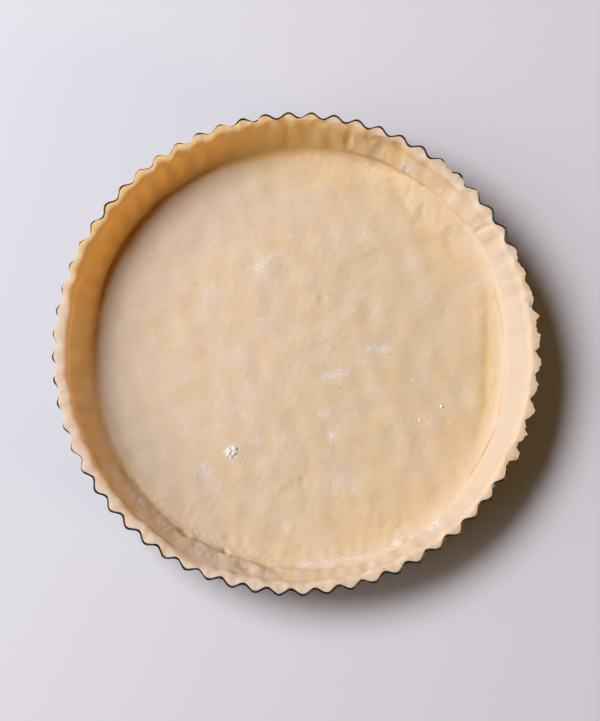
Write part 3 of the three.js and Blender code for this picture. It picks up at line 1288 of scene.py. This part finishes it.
@dataclass
class LooseBits:
    """Loose bits of one kind, joined into one piece.

    Attributes:
        name: The piece's name.
        kind: What the bits are.
        slot: Name of a material slot for the piece; not used.
        patches: Where the bits lie.
        seed: Seed of their places and shapes.
        ragged: Least and most that a point of a bit is pushed in or out.
        sunk: Height of a bit's middle over the ground, as a share of its height.
    """

    name: str
    kind: Loose
    slot: str
    patches: tuple[Sprinkle, ...]
    seed: int
    ragged: tuple[float, float] = (0.72, 1.18)
    sunk: float = 0.22

    def build(self, ground: bpy.types.Object, material: bpy.types.Material) -> bpy.types.Object:
        """Builds the bits on the ground piece."""
        chance = random.Random(self.seed)
        down = Vector((0.0, 0.0, -1.0))
        mesh = bmesh.new()
        for patch in self.patches:
            middle = spot(patch.place)
            for _ in range(patch.count):
                turn = chance.uniform(0.0, 2 * math.pi)
                away = patch.spread * chance.random() ** 0.7
                size = patch.smallest * (patch.largest / patch.smallest) ** (chance.random() ** 2)
                x = middle[0] + away * math.cos(turn)
                y = middle[1] + away * math.sin(turn)
                hit, place, normal, _ = ground.ray_cast(Vector((x * MM, y * MM, 0.1)), down)
                if hit:
                    self._bit(mesh, Vector(place) / MM, normal, size, chance)
        piece = piece_from(mesh, self.name)
        piece.data.materials.append(material)
        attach(piece, BODY)
        return piece

    def _bit(
        self, mesh: Mesh, place: Vector, normal: Vector, size: float, chance: random.Random
    ) -> None:
        """Adds one bit, pressed a little into the ground.

        Args:
            mesh: Where the bit is added.
            place: Its place on the ground.
            normal: The ground's normal there.
            size: Its width.
            chance: Source of its turn and shape.
        """
        stand = normal.to_track_quat("Z", "Y").to_matrix().to_4x4()
        turn = Matrix.Rotation(chance.uniform(0, 6.28), 4, "Z")
        high = size * self.kind.value
        grow = Matrix.Diagonal((size * chance.uniform(0.7, 1.3), size, high, 1.0))
        made = bmesh.ops.create_icosphere(mesh, subdivisions=2, radius=0.5)["verts"]
        for vert in made:
            vert.co *= chance.uniform(*self.ragged)
        bmesh.ops.smooth_vert(mesh, verts=made, factor=0.5, use_axis_x=True, use_axis_y=True, use_axis_z=True)
        lift = Matrix.Translation(place + normal * high * self.sunk)
        bmesh.ops.transform(mesh, matrix=lift @ stand @ turn @ grow, verts=made)


# ---------------------------------------------------------------------------------------------------------
# Studio


DAYLIGHT = (0.82, 0.875, 0.955)


def add_light(name: str, kind: str, heading: float, height: float, distance: float) -> bpy.types.Light:
    """Adds a light that faces the tin, with its width level.

    Args:
        name: The light's name.
        kind: Blender's name of its kind.
        heading: Direction round the tin that it shines from.
        height: Its angle over the floor.
        distance: Its distance in metres.

    Returns:
        The light, whose size, power and colour are still to be set.
    """
    light = bpy.data.lights.new(name, kind)
    turn, up = math.radians(heading), math.radians(height)
    away = Vector((math.cos(turn) * math.cos(up), math.sin(turn) * math.cos(up), math.sin(up)))
    level = Vector((-math.sin(turn), math.cos(turn), 0.0))
    lamp = bpy.data.objects.new(name, light)
    lamp.location = away * distance
    lamp.rotation_euler = Matrix((level, away.cross(level), away)).transposed().to_euler()
    bpy.context.scene.collection.objects.link(lamp)
    return light


@dataclass(frozen=True)
class Lamp:
    """A soft oval light.

    Attributes:
        name: What it stands for.
        heading: Direction round the tin that it shines from.
        height: Its angle over the floor.
        size: Its width and height in metres.
        power: Its power in watts.
        colour: Its colour.
        distance: Its distance in metres.
    """

    name: str
    heading: float
    height: float
    size: tuple[float, float]
    power: float
    colour: Colour = DAYLIGHT
    distance: float = 2.4

    def light(self) -> None:
        """Adds the light to the scene."""
        light = add_light(self.name, "AREA", self.heading, self.height, self.distance)
        light.shape = "ELLIPSE"
        light.size, light.size_y = self.size
        light.energy = self.power
        light.color = self.colour


@dataclass(frozen=True)
class Bounce:
    """Warm light thrown back low over the worktop by what stands round it.

    Attributes:
        heading: Direction round the tin that it comes from.
        height: Its angle over the floor.
        width: Angle over which it is spread.
        strength: Its strength in watts per square metre.
        colour: Its colour.
    """

    heading: float = -27.0
    height: float = 7.0
    width: float = 16.0
    strength: float = 1.5
    colour: Colour = (1.0, 0.62, 0.23)

    def light(self) -> None:
        """Adds the light to the scene."""
        light = add_light("bounce", "SUN", self.heading, self.height, 1.0)
        light.angle = math.radians(self.width)
        light.energy = self.strength
        light.color = self.colour


LIGHTS = (
    Lamp("key", 152.0, 46.8, (1.8, 1.1), 72.5),
    Lamp("window", 188.0, 28.0, (2.8, 1.4), 24.0),
    Bounce(),
)


@dataclass
class Studio:
    """Floor, soft light and camera.

    Attributes:
        lights: The soft lights.
        eye: The camera's place in millimetres.
        aim: What it looks at.
        upright: Direction that is up in the picture, in degrees.
        lens: The camera's focal length.
        sensor: Width of its sensor.
        nearest: Distance in metres from which it sees.
        fill_colour: Strength and colour of the even fill light.
        backdrop: Colour behind the floor's far edge.
        floor_reach: Distance from the tin to the floor's edges.
    """

    lights: tuple[Lamp | Bounce, ...] = LIGHTS
    eye: Corner = (16.8, -108.5, 742.2)
    aim: Corner = (1.97, -5.97, 25.0)
    upright: float = 88.21
    lens: float = 73.95
    sensor: float = 36.0
    nearest: float = 0.01
    fill_colour: Colour = (0.04, 0.028, 0.017)
    backdrop: Colour = (0.66, 0.63, 0.66)
    floor_reach: float = 6000.0

    def build(self) -> None:
        """Builds the stage, the lights and the camera."""
        self._floor()
        for light in self.lights:
            light.light()
        self._world()
        self._camera()
        view = bpy.context.scene.view_settings
        view.view_transform = "Standard"
        view.look = "None"

    def _floor(self) -> None:
        """Adds the pale floor under the tin."""
        mesh = bmesh.new()
        bmesh.ops.create_grid(mesh, x_segments=1, y_segments=1, size=self.floor_reach)
        floor = piece_from(mesh, "stage_floor", smooth=False)
        floor.data.materials.append(WorktopFinish().material())

    def _world(self) -> None:
        """Sets the even fill light and the pale backdrop that the camera sees."""
        world = bpy.data.worlds.new("studio")
        world.use_nodes = True
        bpy.context.scene.world = world
        nodes = Nodes(world.node_tree)
        fill = world.node_tree.nodes["Background"]
        fill.inputs["Color"].default_value = (*self.fill_colour, 1.0)
        seen = nodes.add("Background", "backdrop")
        seen.inputs["Color"].default_value = (*self.backdrop, 1.0)
        both = nodes.add("MixShader")
        nodes.join(nodes.add("LightPath").outputs["Is Camera Ray"], both.inputs[0])
        nodes.join(fill.outputs[0], both.inputs[1])
        nodes.join(seen.outputs[0], both.inputs[2])
        nodes.join(both.outputs[0], world.node_tree.nodes["World Output"].inputs["Surface"])

    def _camera(self) -> None:
        """Adds the camera."""
        data = bpy.data.cameras.new("camera")
        data.lens = self.lens
        data.sensor_width = self.sensor
        data.clip_start = self.nearest
        eye, aim = Vector(self.eye) * MM, Vector(self.aim) * MM
        ahead = (aim - eye).normalized()
        turn = math.radians(self.upright)
        right = ahead.cross(Vector((math.cos(turn), math.sin(turn), 0.0))).normalized()
        above = right.cross(ahead)
        camera = bpy.data.objects.new("camera", data)
        axes = Matrix((right, above, -ahead)).transposed().to_4x4()
        camera.matrix_world = Matrix.Translation(eye) @ axes
        bpy.context.scene.collection.objects.link(camera)
        bpy.context.scene.camera = camera


def main() -> None:
    """Builds the tin, the pastry and what lies on it, and lights them."""
    logging.basicConfig(level=logging.INFO, format="%(name)s: %(message)s")
    effects = Effects()
    tin_top, pastry_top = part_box("tart_tin")[1] / MM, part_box("pastry_shell")[1] / MM
    tin = TartTin(height=tin_top.z, rim_crest=tin_top.x)
    pastry = PastryShell(tin=tin, rim=pastry_top.z, marks=WALL_MARKS, tones=Tones(FLOUR_STREAKS))
    pieces = [tin.build(effects)]
    shell = pastry.build(effects)
    pieces.append(shell)
    flour = LooseBits("flour_clumps", Loose.FLOUR, "raw_pastry", FLOUR_PATCHES, 7)
    pieces.append(flour.build(shell, BitsFinish().material(effects)))
    crumb_finish = BitsFinish("loose_crumb", PastryFinish().pale, PastryFinish().butter_and_shade_colour)
    crumbs = LooseBits("dough_crumbs", Loose.CRUMB, "raw_pastry", CRUMB_PATCHES, 8)
    pieces.append(crumbs.build(shell, crumb_finish.material(effects)))
    Studio().build()
    for piece in pieces:
        log.info("%s: %d faces", piece.name, len(piece.data.polygons))


if __name__ == "__main__":
    main()
